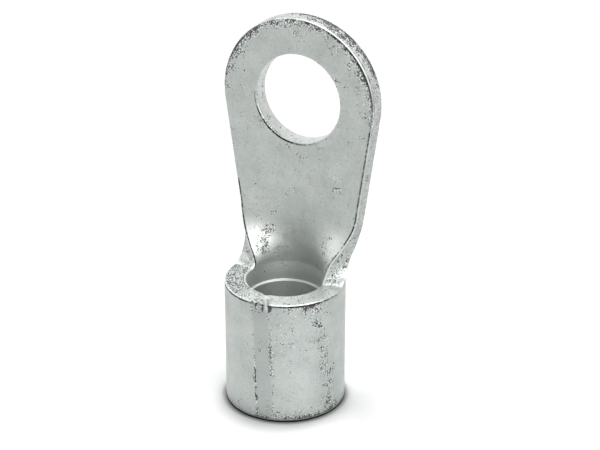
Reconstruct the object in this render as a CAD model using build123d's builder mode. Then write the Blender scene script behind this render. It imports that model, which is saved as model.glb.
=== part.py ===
from build123d import *
import math
import os

os.makedirs("parts", exist_ok=True)

# A ring cable lug stamped from sheet, its lower part rolled into a barrel that is brazed at the front.
# It stands on the barrel's mouth. The barrel's axis is Z, the tongue stands at the back (+Y) and the
# seam is at the front (-Y).

# Sheet and barrel
sheet = 1.7
barrel_wall = 2.0
barrel_outer_radius = 5.6
barrel_length = 12.1
ledge_drop = 1.9
ledge_width = 0.2
base_edge_radius = 0.3
mouth_chamfer = 0.3

# Brazed seam down the front of the barrel
seam_band_width = 1.5
seam_groove_width = 0.8
seam_groove_depth = 0.25

# Ring and tongue
stud_hole_radius = 4.2
ring_outer_radius = 7.55
hole_height = 28.9
tongue_set_in = 1.4
edge_roll = 0.15

# Neck, where the rolled barrel opens out into the flat tongue
neck_length = 6.0
opening_ease = 0.72
lean_length = 2.4
lean_ease = 0.5
root_half_width = 4.8
root_fillet = 2.6
root_angle = math.radians(12)
waist_height = 4.9
waist_half_width = 5.9
root_stations = 4
neck_stations = 7

# Values worked out from the sizes above
rim_inner_radius = barrel_outer_radius - barrel_wall
middle_radius = barrel_outer_radius - barrel_wall / 2
bore_radius = rim_inner_radius - ledge_width
tongue_back = barrel_outer_radius - tongue_set_in
tongue_front = tongue_back - sheet
tongue_middle = tongue_back - sheet / 2
neck_top = barrel_length + neck_length
root_level = root_fillet * math.cos(root_angle)

# The tongue's straight sides run up from the waist and touch the ring's circle.
waist_drop = hole_height - barrel_length - waist_height
waist_reach = math.hypot(waist_half_width, waist_drop)
touch_angle = math.acos(ring_outer_radius / waist_reach) - math.atan2(waist_drop, waist_half_width)
touch_x = ring_outer_radius * math.cos(touch_angle)
touch_height = hole_height + ring_outer_radius * math.sin(touch_angle)
side_slope = (touch_x - waist_half_width) / (touch_height - barrel_length - waist_height)

# The seam's groove is as wide as stated at the rim's inner edge, and its sides run on into the bore.
groove_bottom = rim_inner_radius + seam_groove_depth
groove_inside = bore_radius - seam_groove_depth
groove_mouth = seam_groove_width / 2 * (groove_bottom - groove_inside) / seam_groove_depth
seam_flat = math.sqrt(barrel_outer_radius**2 - (seam_band_width / 2) ** 2)


def smooth_step(share):
    """A share from 0 to 1, eased so that it starts and ends level."""
    limited = min(max(share, 0.0), 1.0)
    return limited * limited * (3 - 2 * limited)


def half_width(rise):
    """Half the sheet's width at a rise above the rim, measured along the sheet."""
    if rise > waist_height:
        return waist_half_width + side_slope * (rise - waist_height)
    straight = root_half_width + (waist_half_width - root_half_width) * rise / waist_height
    if rise > root_level:
        return straight
    return straight + root_fillet - math.sqrt(root_fillet**2 - (root_level - rise) ** 2)


# The height of each arc of the neck, closer together round the fillet at its root
root_sweep = math.pi / 2 - root_angle
root_rises = [root_level - root_fillet * math.cos(root_angle + root_sweep * i / root_stations)
              for i in range(root_stations + 1)]
upper_rises = [root_level + (neck_length - root_level) * i / neck_stations for i in range(1, neck_stations)]

with BuildPart() as cable_lug:
    # Barrel: the wall's section turned about the axis, with the fine ledge that sizing the bore leaves
    with BuildSketch(Plane.XZ):
        with BuildLine():
            Polyline(
                (bore_radius + mouth_chamfer, 0),
                (barrel_outer_radius, 0),
                (barrel_outer_radius, barrel_length),
                (rim_inner_radius, barrel_length),
                (rim_inner_radius, barrel_length - ledge_drop),
                (bore_radius, barrel_length - ledge_drop),
                (bore_radius, mouth_chamfer),
                close=True,
            )
        make_face()
    revolve(axis=Axis.Z)
    base_edges = cable_lug.edges().group_by(Axis.Z)[0]
    fillet(base_edges.sort_by(SortBy.RADIUS)[-1], radius=base_edge_radius)

    # Tongue: the flat plate with straight sides that widen into the ring
    with BuildPart() as tongue:
        with BuildSketch(Plane.XZ.offset(-tongue_back)):
            with BuildLine():
                top_half = half_width(neck_length)
                Line((-top_half, neck_top), (top_half, neck_top))
                Line((top_half, neck_top), (touch_x, touch_height))
                ThreePointArc(
                    (touch_x, touch_height), (0, hole_height + ring_outer_radius), (-touch_x, touch_height)
                )
                Line((-touch_x, touch_height), (-top_half, neck_top))
            make_face()
        extrude(amount=sheet)

        # Stud hole, through the tongue
        with Locations(Plane.XZ.offset(-tongue_front)):
            with Locations((0, hole_height)):
                Hole(stud_hole_radius, depth=sheet)

        # Stamping rolls over the tongue's front edges, round the outside and round the hole.
        front_edges = tongue.faces().sort_by(Axis.Y)[0].edges()
        neck_edge = front_edges.sort_by(Axis.Z)[0]
        fillet(front_edges - [neck_edge], radius=edge_roll)

    # Neck: arcs of the sheet, one above another, that open out and lean forward into the tongue
    for rise in root_rises + upper_rises:
        radius = middle_radius / (1 - smooth_step(rise / neck_length) ** opening_ease)
        lean = smooth_step(rise / lean_length) ** lean_ease
        back = middle_radius + (tongue_middle - middle_radius) * lean
        half_thickness = (barrel_wall + (sheet - barrel_wall) * smooth_step(rise / neck_length)) / 2
        turn = math.degrees(half_width(rise) / radius)
        with BuildSketch(Plane.XY.offset(barrel_length + rise)) as section:
            with BuildLine():
                inner = CenterArc((0, back - radius), radius - half_thickness, 90 - turn, 2 * turn)
                outer = CenterArc((0, back - radius), radius + half_thickness, 90 - turn, 2 * turn)
                Line(inner @ 0, outer @ 0)
                Line(inner @ 1, outer @ 1)
            make_face()
            front_corners = section.vertices().sort_by_distance((0, back - radius))[:2]
            fillet(front_corners, radius=edge_roll)
    add(-tongue.faces().sort_by(Axis.Z)[0])
    loft()

    # Seam: the two rolled edges meet in a shallow groove down the bore, and the braze over them is filed flat
    with BuildSketch(Plane.XY):
        with BuildLine():
            Polyline(
                (0, -groove_bottom),
                (groove_mouth, -groove_inside),
                (-groove_mouth, -groove_inside),
                close=True,
            )
        make_face()
    extrude(amount=barrel_length, mode=Mode.SUBTRACT)
    with BuildSketch(Plane.XY):
        with Locations((0, -seam_flat)):
            Rectangle(seam_band_width, barrel_outer_radius, align=(Align.CENTER, Align.MAX))
    extrude(amount=barrel_length, mode=Mode.SUBTRACT)

cable_lug.part.label = "cable_lug"
export_step(cable_lug.part, "parts/cable_lug.step")
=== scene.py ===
import math

import bpy
import numpy as np
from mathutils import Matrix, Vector


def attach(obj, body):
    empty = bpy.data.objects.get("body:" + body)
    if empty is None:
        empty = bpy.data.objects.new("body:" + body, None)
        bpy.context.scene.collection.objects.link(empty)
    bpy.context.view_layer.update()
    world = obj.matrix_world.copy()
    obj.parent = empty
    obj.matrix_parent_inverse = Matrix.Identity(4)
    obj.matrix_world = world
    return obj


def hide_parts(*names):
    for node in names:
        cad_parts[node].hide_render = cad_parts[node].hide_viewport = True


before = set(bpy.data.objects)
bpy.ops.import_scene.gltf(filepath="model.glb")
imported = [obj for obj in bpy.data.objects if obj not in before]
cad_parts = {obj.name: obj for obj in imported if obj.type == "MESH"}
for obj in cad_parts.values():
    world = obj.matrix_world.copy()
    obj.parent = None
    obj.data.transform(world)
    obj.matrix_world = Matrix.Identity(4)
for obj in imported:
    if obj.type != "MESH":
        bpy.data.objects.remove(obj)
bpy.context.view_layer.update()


# Camera. It looks down on the lug from the front right, with the view that was fitted to the
# outlines of the ring, the hole and the barrel in the photograph. Lengths are in millimetres.
MM = 0.001
cam_azimuth = math.radians(27.15)
cam_elevation = math.radians(24.88)
cam_distance = 168.0
cam_aim_height = 17.51
cam_aim_right = 1.372
cam_lens = 110.55
cam_sensor = 36.0

cam_right = Vector((math.cos(cam_azimuth), math.sin(cam_azimuth), 0.0))
cam_ahead = Vector((-math.sin(cam_azimuth) * math.cos(cam_elevation),
                    math.cos(cam_azimuth) * math.cos(cam_elevation),
                    -math.sin(cam_elevation)))
cam_aim = Vector((0, 0, cam_aim_height)) + cam_right * cam_aim_right
cam_data = bpy.data.cameras.new("camera")
cam_data.lens = cam_lens
cam_data.sensor_width = cam_sensor
cam_data.clip_start = 10 * MM
camera = bpy.data.objects.new("camera", cam_data)
camera.location = (cam_aim - cam_ahead * cam_distance) * MM
camera.rotation_euler = cam_ahead.to_track_quat("-Z", "Y").to_euler()
bpy.context.scene.collection.objects.link(camera)
bpy.context.scene.camera = camera


# Lug. One piece of copper sheet, stamped flat, then rolled round its lower part into a barrel
# whose two edges are brazed together at the front. The neck is where the rolled part opens out
# into the flat tongue. The whole piece is tin-plated, with a satin face and bright cut edges.
sheet = 1.7
barrel_wall = 2.0
barrel_radius = 5.6
barrel_length = 12.1
ledge_drop = 1.9
ledge_width = 0.2
ledge_slope = 0.06
base_round = 0.3
mouth_chamfer = 0.3
seam_band = 1.5
seam_groove = 0.8
groove_depth = 0.25
hole_radius = 4.2
ring_radius = 7.55
hole_height = 28.9
tongue_set_in = 1.4
front_roll = 0.15
back_roll = 0.06

# The neck's width, how it opens and leans forward, and the shallow trough up the middle of it
neck_length = 6.0
opening_ease = 0.72
lean_length = 2.4
lean_ease = 0.5
trough_length = 8.5
trough_ease = 0.6
trough_half = 5.4
root_half = 4.8
root_fillet = 2.6
root_angle = math.radians(12)
waist_height = 4.9
waist_half = 5.9

# Values worked out from the sizes above. A rise is measured up from the barrel's rim.
middle_radius = barrel_radius - barrel_wall / 2
rim_inner_radius = middle_radius - barrel_wall / 2
band_reach = math.sqrt(barrel_radius**2 - (seam_band / 2) ** 2)
ledge_height = barrel_length - ledge_drop
tongue_middle = barrel_radius - tongue_set_in - sheet / 2
tongue_back = tongue_middle + sheet / 2
root_level = root_fillet * math.cos(root_angle)
hole_rise = hole_height - barrel_length
seam_along = math.pi * middle_radius
waist_drop = hole_rise - waist_height
touch_angle = (math.acos(ring_radius / math.hypot(waist_half, waist_drop))
               - math.atan2(waist_drop, waist_half))
touch_x = ring_radius * math.cos(touch_angle)
touch_rise = hole_rise + ring_radius * math.sin(touch_angle)


def smooth_step(share):
    """A share from 0 to 1, eased level at both ends: three times its square less twice its cube."""
    limited = np.clip(share, 0.0, 1.0)
    return limited * limited * (3 - 2 * limited)


def half_width(rise):
    """Half the blank's width at a rise above the rim: straight sides from the root to the waist and
    on to the ring, with a circle of the root fillet's radius at the foot."""
    straight = root_half + (waist_half - root_half) * rise / waist_height
    level = np.clip(root_level - rise, 0.0, root_fillet)
    foot = root_fillet - np.sqrt(root_fillet**2 - level**2)
    upper = waist_half + (touch_x - waist_half) / (touch_rise - waist_height) * (rise - waist_height)
    return np.where(rise > waist_height, upper, straight + foot)


def half_thickness(rise):
    """Half the wall, which thins from the barrel's to the sheet's up the neck."""
    return (barrel_wall + (sheet - barrel_wall) * smooth_step(rise / neck_length)) / 2


def bent(along, rise, depth):
    """Where a point of the blank lies once the sheet is bent. along runs across the sheet from the
    middle of its back, rise runs up from the rim, and depth runs through the sheet, outwards. The
    sheet follows an arc whose curvature falls from the barrel's to none up the neck, and its back
    leans forward to the tongue: x = (radius + depth) sin(along / radius), and y is the same arc's
    cosine, less the radius, measured from the back. Both are written with the sine of an angle over
    the angle, which holds where the sheet is flat too. The back leans more slowly down the middle
    than at the sides, which leaves the shallow trough that fades out up the tongue."""
    curve = (1 - smooth_step(rise / neck_length) ** opening_ease) / middle_radius
    turn = curve * along
    side_lean = smooth_step(rise / lean_length) ** lean_ease
    middle_lean = smooth_step(np.clip(rise / trough_length, 0, 1) ** trough_ease)
    lean = middle_lean + (side_lean - middle_lean) * smooth_step(np.abs(along) / trough_half)
    back = middle_radius + (tongue_middle - middle_radius) * lean
    half_chord = np.sinc(turn / 2 / np.pi)
    x = along * np.sinc(turn / np.pi) + depth * np.sin(turn)
    y = back + depth * np.cos(turn) - curve * along**2 / 2 * half_chord**2
    return np.stack([x, y, barrel_length + rise], axis=-1)


def edge_steps(first, last, count):
    """Offsets from an edge that grow steadily: a geometric run from first to last, after zero."""
    return np.concatenate([[0.0], np.geomspace(first, last, count)])


# The blank is laid out as three grids that share their borders: the barrel, the neck and the ring.
# A grid's lines draw close together along every edge, where the stamping has rounded the sheet,
# and along the seam and the ledge in the bore.
edge_zone = 0.9
near_edge = edge_steps(0.02, edge_zone, 11)
neck_foot = float(half_width(np.float64(0.0)))
mid_span = np.linspace(-1, 1, 45)[1:-1] * (1 - edge_zone / neck_foot)
across = np.concatenate([-1 + near_edge / neck_foot, mid_span, 1 - near_edge[::-1] / neck_foot])
seam_zone_start = 13.4
front_along = np.concatenate([np.linspace(neck_foot, seam_zone_start, 36)[1:],
                              np.linspace(seam_zone_start, seam_along, 20)[1:]])
barrel_along = np.concatenate([-front_along[::-1], across * neck_foot, front_along])
ledge_steps = np.array([-0.2, -0.12, -0.07, -0.04, 0.0, 0.04, 0.1, 0.2, 0.35, 0.55, 0.77])
barrel_levels = np.concatenate([np.linspace(base_round, ledge_height - 0.3, 52),
                                ledge_height + ledge_steps, barrel_length - near_edge[::-1]])
barrel_grid = np.stack(np.meshgrid(barrel_along, barrel_levels - barrel_length), axis=-1)

ring_grid_start = 8.6
root_sweep = np.linspace(root_angle, math.pi / 2, 22)
neck_rises = np.concatenate([root_level - root_fillet * np.cos(root_sweep),
                             np.linspace(root_level, ring_grid_start, 40)[1:]])
neck_rises[0] = 0.0
neck_grid = np.stack([across[None, :] * half_width(neck_rises)[:, None],
                      np.broadcast_to(neck_rises[:, None], (len(neck_rises), len(across)))], axis=-1)

# The ring's grid has a ray from the hole to each point of its outline.
mirrored = [-1, 1]
side_rises = np.linspace(ring_grid_start, touch_rise, 46)[1:]
ring_turn = np.linspace(touch_angle, math.pi - touch_angle, 140)[1:-1]
ring_side = np.stack([half_width(side_rises), side_rises], axis=-1)
ring_top = np.stack([ring_radius * np.cos(ring_turn),
                     hole_rise + ring_radius * np.sin(ring_turn)], axis=-1)
ring_points = np.concatenate([ring_side, ring_top, (ring_side * mirrored)[::-1]])
ring_outline = np.concatenate([ring_points, neck_grid[-1]])
hole_centre = [0.0, hole_rise]
ring_reach = ring_outline - hole_centre
reach_length = np.linalg.norm(ring_reach, axis=1)
ray = ring_reach / reach_length[:, None]
inner_steps = hole_radius + near_edge
outer_steps = reach_length[:, None] - near_edge[::-1]
middle_steps = inner_steps[-1] + (outer_steps[:, :1] - inner_steps[-1]) * np.linspace(0, 1, 16)[1:-1]
ring_steps = np.concatenate([np.broadcast_to(inner_steps, (len(ray), len(inner_steps))),
                             middle_steps, outer_steps], axis=1)
ring_grid = hole_centre + ray[:, None, :] * ring_steps[:, :, None]
ring_grid[:, -1, :] = ring_outline
ring_grid = np.concatenate([ring_grid, ring_grid[:1]])
hole_edge = ring_grid[:, 0]

# The blank's outline runs from the seam round the right of the rim, up the neck, round the ring
# and back down the left side to the seam.
side_points = neck_grid[1:, -1]
rim_right = np.stack([front_along[::-1], np.zeros(len(front_along))], axis=-1)
outline = np.concatenate([rim_right, [[neck_foot, 0.0]], side_points, ring_points,
                          (side_points * mirrored)[::-1], [[-neck_foot, 0.0]],
                          (rim_right * mirrored)[::-1]])


def edge_distance(points):
    """The least distance from each point of the blank to its outline or the hole: for every straight
    step of the outline, the distance to the nearest place on the step. The points are taken a
    dozenth at a time, to spare memory."""
    starts = outline[:-1]
    steps = outline[1:] - starts
    flat = points.reshape(-1, 2)
    nearest = []
    for some in np.array_split(flat, 12):
        offset = some[:, None, :] - starts[None]
        share = np.clip((offset * steps).sum(-1) / (steps**2).sum(-1), 0, 1)
        nearest.append(np.linalg.norm(offset - share[..., None] * steps, axis=-1).min(axis=1))
    to_hole = np.abs(np.linalg.norm(flat - hole_centre, axis=1) - hole_radius)
    return np.minimum(np.concatenate(nearest), to_hole).reshape(points.shape[:-1])


def rolled(distance, radius):
    """How far a face drops beside an edge rounded to a radius: a quarter circle's fall."""
    inside = np.clip(radius - distance, 0.0, radius)
    return radius - np.sqrt(radius**2 - inside**2)


def face_depth(points, side):
    """The depth of one face of the sheet, -1 for the inner face and 1 for the outer, and each point's
    distance from the edge. The depth is half the wall, less the rolled edge, with the seam's flat
    band outside, and its groove and the ledge inside."""
    along, rise = points[..., 0], points[..., 1]
    distance = edge_distance(points)
    wall = half_thickness(rise)
    seam_turn = (seam_along - np.abs(along)) / middle_radius
    if side > 0:
        # Past half a radian from the seam the flat lies well outside the wall.
        flat = band_reach / np.cos(np.clip(seam_turn, 0, 0.5)) - middle_radius
        wall = np.where(rise <= 0, np.minimum(wall, flat), wall)
        return wall - rolled(distance, back_roll), distance
    below = smooth_step((ledge_height + ledge_slope / 2 - (rise + barrel_length)) / ledge_slope)
    wall = wall + ledge_width * below
    groove = groove_depth * np.clip(1 - seam_turn * rim_inner_radius / (seam_groove / 2), 0, 1)
    wall = np.where(rise <= 0, wall - groove, wall)
    return -wall + rolled(distance, front_roll), distance


faces_made = []


def add_face(place, edge, cut, side, outwards):
    """Keeps one grid of the lug with its distance from the edge, whether it is a cut face, and its
    side of the sheet, -1 inside and 1 outside. outwards turns the grid's faces over where their
    order points them inwards."""
    faces_made.append((place, np.broadcast_to(edge, place.shape[:-1]), cut, side, outwards))


for grid in (barrel_grid, neck_grid, ring_grid):
    for side in (-1, 1):
        depth, distance = face_depth(grid, side)
        add_face(bent(grid[..., 0], grid[..., 1], depth), distance, 0.0, side, side > 0)

# Cut faces: the outline's and the hole's, from the inner face to the outer
through = np.linspace(0, 1, 15)[:, None]
for border, outwards in ((outline, True), (hole_edge, False)):
    inner = face_depth(border, -1)[0]
    outer = face_depth(border, 1)[0]
    depth = inner + (outer - inner) * through
    along = np.broadcast_to(border[:, 0], depth.shape)
    rise = np.broadcast_to(border[:, 1], depth.shape)
    add_face(bent(along, rise, depth), 0.0, 1.0, 0, outwards)

# Base: the bore's chamfered mouth, the flat end that it stands on, and the rounded outer corner
base_line = barrel_grid[0]
mouth_edge = face_depth(base_line, -1)[0]
flat_start = mouth_edge + mouth_chamfer
base_outer = face_depth(base_line, 1)[0]
flat_end = base_outer - base_round
chamfer_share = np.linspace(0, 1, 4)
flat_share = np.linspace(0, 1, 9)[1:]
corner_turn = np.linspace(0, math.pi / 2, 8)[1:]
base_depth = np.concatenate([mouth_edge + mouth_chamfer * chamfer_share[:, None],
                             flat_start + (flat_end - flat_start) * flat_share[:, None],
                             flat_end + base_round * np.sin(corner_turn)[:, None]])
base_level = np.concatenate([base_round * (1 - chamfer_share), np.zeros(len(flat_share)),
                             base_round * (1 - np.cos(corner_turn))])
base_rise = np.broadcast_to((base_level - barrel_length)[:, None], base_depth.shape)
base_along = np.broadcast_to(base_line[:, 0], base_depth.shape)
add_face(bent(base_along, base_rise, base_depth), 1.0, 0.0, 0, True)

# The grids are put together, and the points that they share along their borders are made one:
# points in the same thousandth of a millimetre. The shift keeps round sizes off its limits.
place = np.concatenate([made[0].reshape(-1, 3) for made in faces_made])
edge_mm = np.concatenate([made[1].reshape(-1) for made in faces_made])
cut = np.concatenate([np.full(made[1].size, made[2]) for made in faces_made])
face = np.concatenate([np.full(made[1].size, made[3]) for made in faces_made])
quads = []
first = 0
for grid_place, *_, outwards in faces_made:
    rows, columns = grid_place.shape[:2]
    index = first + np.arange(rows * columns).reshape(rows, columns)
    quad = np.stack([index[:-1, :-1], index[:-1, 1:], index[1:, 1:], index[1:, :-1]], axis=-1)
    quad = quad.reshape(-1, 4)
    quads.append(quad[:, ::-1] if outwards else quad)
    first += rows * columns
merge_shift = 0.137
cells = np.round(place * 1000 + merge_shift).astype(np.int64)
_, kept, merged = np.unique(cells, axis=0, return_index=True, return_inverse=True)
corners = merged.reshape(-1)[np.concatenate(quads)]


def near(value, centre, spread):
    """A soft spot: 1 at the centre and falling to 0 as a bell of the given spread."""
    return np.exp(-((value - centre) / spread) ** 2)


# Where each point lies. The front angle runs round the barrel from the seam to the right, the ring
# angle runs round the hole from the right to the top, and both are in degrees.
x, y, z = place[kept].T
edge_mm, cut, face = edge_mm[kept], cut[kept], face[kept]
front_angle = np.degrees(np.arctan2(x, -y))
ring_angle = np.degrees(np.arctan2(z - hole_height, x))
from_hole = np.hypot(x, z - hole_height)
share_up = np.clip(z / barrel_length, 0, 1)
to_rim = z - barrel_length

inner_face = face < 0
by_hole = from_hole < (hole_radius + ring_radius) / 2
on_tongue = z > 20
on_ring = (z > 24) * ~by_hole
barrel = to_rim < 0.01
barrel_out = (face > 0) * barrel
upper_barrel = barrel_out * (z > 6)
tongue_front = inner_face * on_tongue
ring_front = tongue_front * ~by_hole
rim_cut = cut * barrel
ring_cut = cut * on_ring
hole_cut = cut * by_hole * on_tongue
# On the outside of the barrel the base counts as an edge too, so the edge wear and the painted shade of
# the dark edge line run round its foot
edge_mm = np.where(barrel_out, np.minimum(edge_mm, z), edge_mm)


def by_edge(reach):
    """1 on an edge and falling away from it: e to the power of minus the distance over the reach."""
    return np.exp(-edge_mm / reach)


# The braze: it stands up as a lumpy burr on the rim over the seam, and a drip of it hangs outside.
# The heights are in millimetres. What lies outside the barrel is left to the material's relief.
lump_height = 0.4
outer_lump_height = 0.12
drip_height = 0.2
lumps = barrel * (0.5 * near(front_angle, -3.5, 1.5) + 0.8 * near(front_angle, 2.5, 2.2)
                  + near(front_angle, 9.3, 1.9))
raised = lump_height * lumps * smooth_step((to_rim + 0.25) / 0.25) * near(np.hypot(x, y), 5.35, 0.5)
drip = barrel_out * near(front_angle, 9.5, 1.9) * smooth_step((to_rim + 0.75) / 0.25)
under_lumps = barrel_out * (np.abs(to_rim + 0.45) < 0.4) * (
    near(front_angle, -0.8, 1.0) + near(front_angle, 6.2, 0.8) + 1.5 * near(front_angle, 12.8, 1.3))
braze_mm = (outer_lump_height * lumps * barrel_out * smooth_step((to_rim + 0.35) / 0.2)
            + drip_height * drip)

# How worn and pitted the plating is, from 0 to 1. On the inner face: along the edges, round the top
# and sides of the ring, below the hole, in a patch on the tongue, and where the neck was bent.
wear = 0.10 * (face <= 0) * by_edge(0.4)
wear += ring_front * by_edge(0.85) * (1.15 * near(ring_angle, 142, 32) + 0.8 * near(ring_angle, 88, 30)
                                      + 1.05 * near(ring_angle, 15, 32))
wear += ring_front * by_edge(0.4) * 0.9 * near(ring_angle, 48, 32)
wear += tongue_front * by_hole * by_edge(0.5) * 0.45 * near(ring_angle, -135, 40)
wear += tongue_front * 0.42 * near(x, 4.3, 0.9) * near(z, 21.8, 1.7)
wear += inner_face * near(z, 14.6, 1.8) * (0.55 * near(x, -3.0, 0.9) + 0.42 * near(x, 3.2, 0.8))

# On the barrel: beside the seam, which runs a little askew, down the right, below the rim, round the
# base, in a small patch, and under the braze.
seam_middle = 8.0 - 5.0 * share_up
seam_sides = near(front_angle, seam_middle - 8.5, 1.3) + 0.8 * near(front_angle, seam_middle + 8.5, 1.5)
wear += barrel_out * (0.95 * seam_sides * (0.5 + 0.5 * near(share_up, 0.42, 0.3))
                      + 0.52 * near(front_angle, 79 - 24 * share_up, 8)
                      + 0.95 * by_edge(0.55) * near(front_angle, 45, 42)
                      + 0.5 * np.exp(-z / 0.7)
                      + 0.3 * near(front_angle, 28, 9) * near(share_up, 0.7, 0.2)
                      + 1.3 * under_lumps - 1.5 * drip)

# On the cut faces: less in the hole, more at the left of the rim and along the ring's back edge
wear += 0.20 * cut - 0.1 * hole_cut + 0.45 * rim_cut * near(front_angle, -60, 50)
wear += ring_cut * (0.30 * near(ring_angle, 48, 38)
                    + 1.5 * np.exp((y - tongue_back) / 0.38) * near(ring_angle, 68, 46))

# Painted shade: how dark the fine broken line just inside an edge is, and round the foot of the barrel
# outside
edge_shade = inner_face * np.select(
    [z <= barrel_length, ~on_tongue, by_hole],
    [0.0, 1.0, 1.5 * near(ring_angle, -125, 45)],
    0.9 * near(ring_angle, 35, 45) + 0.7 * near(ring_angle, 150, 25) + 0.8 * (x > 0) * (z < 27))
edge_shade += np.where(upper_barrel, 1.8 * near(front_angle, -42, 34) + 1.2 * near(front_angle, 42, 36),
                 barrel_out)
edge_shade *= 1 - lumps

# Painted highlight: how bright the rounded crest of an edge is painted
crest_highlight = inner_face * (0.2 * ~by_hole + 0.6 * on_ring * near(ring_angle, 55, 50))
crest_highlight += upper_barrel * near(front_angle, 42, 36)

# Where the forming galled the cheeks of the neck, and where the metal is filed or rubbed bright: the
# right and front of the rim, the top right of the ring, the drip and the hole. The same paler colour is
# painted light on the back of the neck and a painted highlight on the galled cheeks
galled = inner_face * near(z, 14.8, 2.4) * (near(x, -4.0, 1.6) + 0.8 * near(x, 3.9, 1.4))
filed = rim_cut * np.maximum(near(front_angle, 35, 48), near(front_angle, 3.5, 7))
filed += 0.8 * ring_cut * near(ring_angle, 50, 50) + 0.9 * drip + 0.5 * hole_cut
# Painted light: paler colour on the back of the neck, and a painted highlight on the galled cheeks
filed += 0.45 * inner_face * near(z, 13.6, 1.8) * near(x, -1.3, 3.0) + 0.45 * galled
seam_dull = barrel_out * smooth_step((9.0 - np.abs(front_angle - seam_middle)) / 2.5)
# Painted light: a paler colour on the inner face inside the bore, fading out across the rim
bore_painted_light = inner_face * smooth_step((0.6 - to_rim) / 1.2)

marks = {"edge_mm": edge_mm, "braze_mm": braze_mm, "cut": cut, "wear": wear, "edge_shade": edge_shade,
         "crest_highlight": crest_highlight, "filed": filed, "seam_dull": seam_dull, "bore_painted_light": bore_painted_light, "galled": galled}
mesh = bpy.data.meshes.new("lug")
mesh.from_pydata((np.stack([x, y, z + raised], axis=-1) * MM).tolist(), [], corners.tolist())
mesh.polygons.foreach_set("use_smooth", np.ones(len(corners), dtype=bool))
for mark, values in marks.items():
    mesh.attributes.new(mark, "FLOAT", "POINT").data.foreach_set("value", values.astype(np.float32))
lug = bpy.data.objects.new("lug", mesh)
bpy.context.scene.collection.objects.link(lug)


def linear(hex_colour):
    """An sRGB colour such as #C0C5C2 as the linear values that a shader takes."""
    parts = [int(hex_colour[i:i + 2], 16) / 255 for i in (1, 3, 5)]
    return [c / 12.92 if c <= 0.04045 else ((c + 0.055) / 1.055) ** 2.4 for c in parts] + [1.0]


def add_node(tree, kind, links=(), **settings):
    """Adds a node. settings are its own properties, and links give each input a value or another
    node's output, by the input's name, or by its number on Math and Mix, which repeat names."""
    made = tree.nodes.new("ShaderNode" + kind)
    for name, value in settings.items():
        setattr(made, name, value)
    for name, value in dict(links).items():
        if isinstance(value, bpy.types.NodeSocket):
            tree.links.new(value, made.inputs[name])
        else:
            made.inputs[name].default_value = value
    return made


# Satin tin plate: matt tin, electroplated on copper that was stamped and rolled first. It gives a
# soft grey metal with no clear reflections and a fine grain, paler and smoother where it is rubbed,
# with dark pits where the forming broke the surface. Painted light is laid into its colour too: a
# painted highlight on the rounded crests of the edges, a dark line of painted shade just inside them
# and round the barrel's foot, and paler painted light in the bore, on the back of the neck and on its
# cheeks. The real grain is about 0.02 mm, too fine to show, so it is drawn at 0.2 mm. First come how
# many of each pattern's marks lie along a millimetre, and how high each stands, in millimetres.
grain_per_mm = 5.0
clouds_per_mm = 0.45
shear_per_mm = 6.5
pits_per_mm = 7.5
clusters_per_mm = 1.4
breaks_per_mm = 2.4
grain_height = 0.006
clouds_height = 0.03
galled_height = 0.05
shear_height = 0.01
pit_depth = 0.02
speck_height = 0.01

tin = bpy.data.materials.new("satin_tin_plate")
tin.use_nodes = True
plate = tin.node_tree
plate.nodes.clear()
mark_at = {mark: add_node(plate, "Attribute", attribute_name=mark).outputs["Fac"] for mark in marks}
where = add_node(plate, "TexCoord").outputs["Object"]
in_mm = add_node(plate, "VectorMath", {0: where, "Scale": 1 / MM}, operation="SCALE").outputs[0]
on_face = add_node(plate, "Math", {0: 1.0, 1: mark_at["cut"]}, operation="SUBTRACT").outputs[0]

# The grain, and the slow clouds of the plating, about 2 mm across
grain = add_node(plate, "TexNoise", {
    "Vector": in_mm, "Scale": grain_per_mm, "Detail": 2.0, "Roughness": 0.6}).outputs["Fac"]
clouds = add_node(plate, "TexNoise", {
    "Vector": in_mm, "Scale": clouds_per_mm, "Detail": 3.0, "Roughness": 0.55}).outputs["Fac"]
mottle = add_node(plate, "Mix", {0: 0.45, 2: grain, 3: clouds}).outputs[0]
mottle = add_node(plate, "MapRange", {
    "Value": mottle, "From Min": 0.3, "From Max": 0.7}, interpolation_type="SMOOTHSTEP").outputs[0]

# Marks that the shearing leaves across a cut edge, 0.15 mm apart and drawn out through the sheet
drawn_out = (1.0, 0.14, 1.0)
shear_way = add_node(plate, "Mapping", {"Vector": in_mm, "Scale": drawn_out}).outputs[0]
shear = add_node(plate, "TexNoise", {
    "Vector": shear_way, "Scale": shear_per_mm, "Detail": 2.0}).outputs["Fac"]
shear = add_node(plate, "MapRange", {"Value": shear, "From Min": 0.35, "From Max": 0.65}).outputs[0]

# Dark pits and bright rubbed specks, 0.1 to 0.3 mm, in clusters where the plating is worn. Each is
# the top of a noise that the wear lifts.
cluster = add_node(plate, "TexNoise", {
    "Vector": in_mm, "Scale": clusters_per_mm, "Detail": 2.0}).outputs["Fac"]
cluster = add_node(plate, "Math", {0: cluster, 1: 0.6}, operation="MULTIPLY").outputs[0]
worn = add_node(plate, "Math", {0: mark_at["wear"], 1: 0.33, 2: cluster},
                operation="MULTIPLY_ADD").outputs[0]
pit = add_node(plate, "TexNoise", {
    "Vector": in_mm, "Scale": pits_per_mm, "Detail": 2.0, "Roughness": 0.6}).outputs["Fac"]
pit = add_node(plate, "Math", {0: pit, 1: worn}, operation="ADD").outputs[0]
pit = add_node(plate, "MapRange", {
    "Value": pit, "From Min": 0.99, "From Max": 1.08}, interpolation_type="SMOOTHSTEP").outputs[0]
speck = add_node(plate, "TexNoise", {
    "Vector": in_mm, "W": 4.0, "Scale": pits_per_mm, "Detail": 2.0, "Roughness": 0.6},
    noise_dimensions="4D").outputs["Fac"]
speck = add_node(plate, "Math", {0: speck, 1: worn}, operation="ADD").outputs[0]
speck = add_node(plate, "MapRange", {
    "Value": speck, "From Min": 1.01, "From Max": 1.10}, interpolation_type="SMOOTHSTEP").outputs[0]
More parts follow.
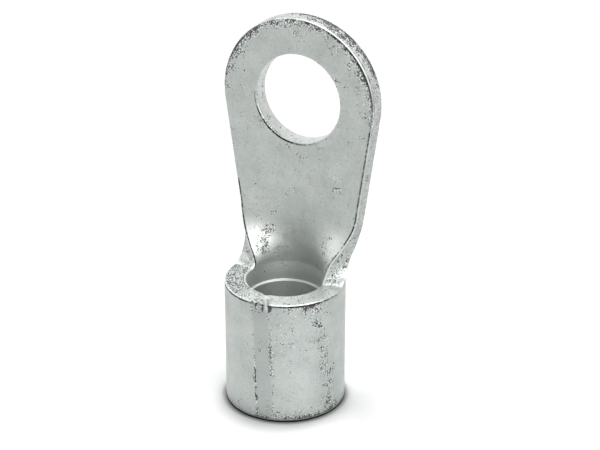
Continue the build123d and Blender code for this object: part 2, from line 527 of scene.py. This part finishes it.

# The painted shade, a broken dark line 0.1 to 0.25 mm inside an edge, and the painted highlight on the
# edge's crest itself
broken = add_node(plate, "TexNoise", {
    "Vector": in_mm, "Scale": breaks_per_mm, "Detail": 3.0, "Roughness": 0.7}).outputs["Fac"]
broken = add_node(plate, "MapRange", {"Value": broken, "From Min": 0.34, "From Max": 0.5}).outputs[0]
line_in = add_node(plate, "MapRange", {
    "Value": mark_at["edge_mm"], "From Min": 0.05, "From Max": 0.13},
    interpolation_type="SMOOTHSTEP").outputs[0]
line_out = add_node(plate, "MapRange", {
    "Value": mark_at["edge_mm"], "From Min": 0.30, "From Max": 0.18},
    interpolation_type="SMOOTHSTEP").outputs[0]
painted_edge_shade = add_node(plate, "Math", {0: line_in, 1: line_out}, operation="MULTIPLY").outputs[0]
# Painted highlight along the rounded crest, within about 0.1 mm of the edge
painted_crest_highlight = add_node(plate, "MapRange", {
    "Value": mark_at["edge_mm"], "From Min": 0.12, "From Max": 0.03},
    interpolation_type="SMOOTHSTEP").outputs[0]
for factor in (broken, mark_at["edge_shade"], on_face):
    painted_edge_shade = add_node(plate, "Math", {0: painted_edge_shade, 1: factor}, operation="MULTIPLY").outputs[0]
for factor in (mark_at["crest_highlight"], on_face):
    painted_crest_highlight = add_node(plate, "Math", {0: painted_crest_highlight, 1: factor}, operation="MULTIPLY").outputs[0]

# The colours: the plating's own two greys, and then what is laid over them, one after another
cut_tone = add_node(plate, "Mix", {
    0: shear, 6: linear("#A9AFAC"), 7: linear("#CDD2CF")}, data_type="RGBA").outputs[2]
tone = add_node(plate, "Mix", {
    0: mottle, 6: linear("#B6BCB9"), 7: linear("#CCD1CE")}, data_type="RGBA").outputs[2]
dulled = add_node(plate, "Math", {0: mark_at["seam_dull"], 1: 0.42}, operation="MULTIPLY").outputs[0]
pitted = add_node(plate, "Math", {0: pit, 1: 0.9}, operation="MULTIPLY").outputs[0]
for share, laid in ((dulled, linear("#A4AAA7")),
                    (mark_at["cut"], cut_tone),
                    # painted light: the paler bore
                    (mark_at["bore_painted_light"], linear("#D9DCD9")),
                    # filed and rubbed metal, with painted light on the back of the neck and its cheeks
                    (mark_at["filed"], linear("#F3F5F3")),
                    (speck, linear("#F4F6F5")),
                    # painted shade: the dark line inside the edges and round the foot
                    (painted_edge_shade, linear("#1C1F1D")),
                    (pitted, linear("#272A28")),
                    # painted highlight: the bright crest of the edges
                    (painted_crest_highlight, linear("#F0F3F1"))):
    tone = add_node(plate, "Mix", {0: share, 6: tone, 7: laid}, data_type="RGBA").outputs[2]

# The relief, in millimetres, added up over the braze
rubbed_grain = add_node(plate, "Math", {0: grain, 1: mark_at["galled"]}, operation="MULTIPLY").outputs[0]
sheared = add_node(plate, "Math", {0: shear, 1: mark_at["cut"]}, operation="MULTIPLY").outputs[0]
relief = mark_at["braze_mm"]
for pattern, height in ((grain, grain_height), (clouds, clouds_height), (rubbed_grain, galled_height),
                        (sheared, shear_height), (pit, -pit_depth), (speck, speck_height)):
    relief = add_node(plate, "Math", {0: pattern, 1: height, 2: relief},
                      operation="MULTIPLY_ADD").outputs[0]
surface_way = add_node(plate, "Bump", {
    "Height": relief, "Distance": MM, "Strength": 1.0}).outputs["Normal"]

# Satin, and a little smoother on the cut faces
rough = add_node(plate, "MapRange", {
    "Value": grain, "From Min": 0.3, "From Max": 0.7, "To Min": 0.42, "To Max": 0.54}).outputs[0]
rough = add_node(plate, "Math", {0: mark_at["cut"], 1: -0.08, 2: rough},
                 operation="MULTIPLY_ADD").outputs[0]
satin = add_node(plate, "BsdfPrincipled", {
    "Base Color": tone, "Metallic": 1.0, "Roughness": rough, "Normal": surface_way})
add_node(plate, "OutputMaterial", {"Surface": satin.outputs["BSDF"]})
mesh.materials.append(tin)
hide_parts("cable_lug")
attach(lug, "root")


# Floor. A white card that the lug stands on, which keeps its shadow. It is whiter to the camera and
# in the metal's gloss than in the light that it throws back, darkened by a painted contact shadow
# within a millimetre of the lug, where the two touch, and plain white to the camera away from the lug.
floor_half = 1.2
card_white = 0.85
card_in_gloss = 1.07
card_to_camera = 1.19
contact_reach = 0.9 * MM
contact_dark = 0.02
white_start = 80 * MM
white_whole = 240 * MM

floor_mesh = bpy.data.meshes.new("floor")
floor_mesh.from_pydata([(-floor_half, -floor_half, 0), (floor_half, -floor_half, 0),
                        (floor_half, floor_half, 0), (-floor_half, floor_half, 0)],
                       [], [(0, 1, 2, 3)])
floor = bpy.data.objects.new("floor", floor_mesh)
bpy.context.scene.collection.objects.link(floor)

card = bpy.data.materials.new("white_card")
card.use_nodes = True
paper = card.node_tree
paper.nodes.clear()
ray_kind = add_node(paper, "LightPath").outputs
card_seen = add_node(paper, "Math", {
    0: ray_kind["Is Camera Ray"], 1: ray_kind["Is Transmission Ray"]}, operation="MAXIMUM").outputs[0]
brightness = add_node(paper, "MapRange", {
    "Value": ray_kind["Is Glossy Ray"], "To Min": card_white, "To Max": card_in_gloss}).outputs[0]
brightness = add_node(paper, "Mix", {0: card_seen, 2: brightness, 3: card_to_camera}).outputs[0]
# Painted contact shadow: the card's colour darkens where the lug is within 0.9 mm
painted_contact_shadow = add_node(paper, "AmbientOcclusion", {"Distance": contact_reach}, samples=12).outputs["AO"]
painted_contact_shadow = add_node(paper, "MapRange", {
    "Value": painted_contact_shadow, "From Min": 0.35, "From Max": 0.92, "To Min": contact_dark}).outputs[0]
brightness = add_node(paper, "Math", {0: brightness, 1: painted_contact_shadow}, operation="MULTIPLY").outputs[0]
card_colour = add_node(paper, "CombineColor", {
    "Red": brightness, "Green": brightness, "Blue": brightness}).outputs[0]
card_diffuse = add_node(paper, "BsdfDiffuse", {"Color": card_colour}).outputs[0]

card_place = add_node(paper, "TexCoord").outputs["Object"]
card_reach = add_node(paper, "VectorMath", {0: card_place}, operation="LENGTH").outputs["Value"]
card_far = add_node(paper, "MapRange", {
    "Value": card_reach, "From Min": white_start, "From Max": white_whole}).outputs[0]
card_far = add_node(paper, "Math", {0: card_far, 1: card_seen}, operation="MULTIPLY").outputs[0]
far_white = add_node(paper, "Emission", {"Color": (1, 1, 1, 1), "Strength": 1.0}).outputs[0]
card_shown = add_node(paper, "MixShader", {0: card_far, 1: card_diffuse, 2: far_white}).outputs[0]
add_node(paper, "OutputMaterial", {"Surface": card_shown})
card.cycles.emission_sampling = "NONE"
floor_mesh.materials.append(card)


# Studio. A white tent all round, which is dim as light and bright in the metal's gloss, though less
# so in front. A small key lamp and a wide softbox hang high behind the lug. Three cards at the right,
# the left and the back left show only in the gloss and throw no light on the floor.
tent_light = 0.11
tent_gloss_front = 0.5
tent_gloss_back = 0.85

world = bpy.data.worlds.new("studio")
world.use_nodes = True
tent = world.node_tree
tent.nodes.clear()
rays = add_node(tent, "LightPath").outputs
seen = add_node(tent, "Math", {
    0: rays["Is Camera Ray"], 1: rays["Is Transmission Ray"]}, operation="MAXIMUM").outputs[0]
shown = add_node(tent, "Math", {0: seen, 1: rays["Is Glossy Ray"]}, operation="MAXIMUM").outputs[0]
outward = add_node(tent, "TexCoord").outputs["Generated"]
outward = add_node(tent, "SeparateXYZ", {0: outward}).outputs["Y"]
tent_shown = add_node(tent, "MapRange", {
    "Value": outward, "From Min": -0.9, "From Max": 0.5, "To Min": tent_gloss_front,
    "To Max": tent_gloss_back}, interpolation_type="SMOOTHSTEP").outputs[0]
tent_shown = add_node(tent, "Math", {0: tent_shown, 1: seen}, operation="MAXIMUM").outputs[0]
level = add_node(tent, "MapRange", {
    "Value": shown, "To Min": tent_light, "To Max": tent_shown}).outputs[0]
sky = add_node(tent, "Background", {"Color": (1, 1, 1, 1), "Strength": level}).outputs[0]
add_node(tent, "OutputWorld", {"Surface": sky})
bpy.context.scene.world = world
bpy.context.scene.view_settings.view_transform = "Standard"

# Each lamp's place and side in metres, its power in watts, and whether it lights the floor
lamp_aim = Vector((0, 0, 0.018))
for name, spot, width, power, on_floor in (
        ("key", (-0.012, 0.070, 0.80), 0.19, 4.4, True),
        ("overhead", (-0.06, 0.12, 0.72), 0.60, 0.50, True),
        ("right_card", (0.25, -0.21, 0.18), 0.34, 1.15, False),
        ("left_card", (-0.30, -0.15, 0.07), 0.30, 0.31, False),
        ("rim_card", (-0.25, 0.13, 0.22), 0.20, 0.22, False)):
    lamp_data = bpy.data.lights.new(name, "AREA")
    lamp_data.shape = "SQUARE"
    lamp_data.size = width
    lamp_data.energy = power
    lamp = bpy.data.objects.new(name, lamp_data)
    lamp.location = spot
    lamp.rotation_euler = (lamp_aim - Vector(spot)).to_track_quat("-Z", "Y").to_euler()
    lamp.visible_diffuse = on_floor
    bpy.context.scene.collection.objects.link(lamp)
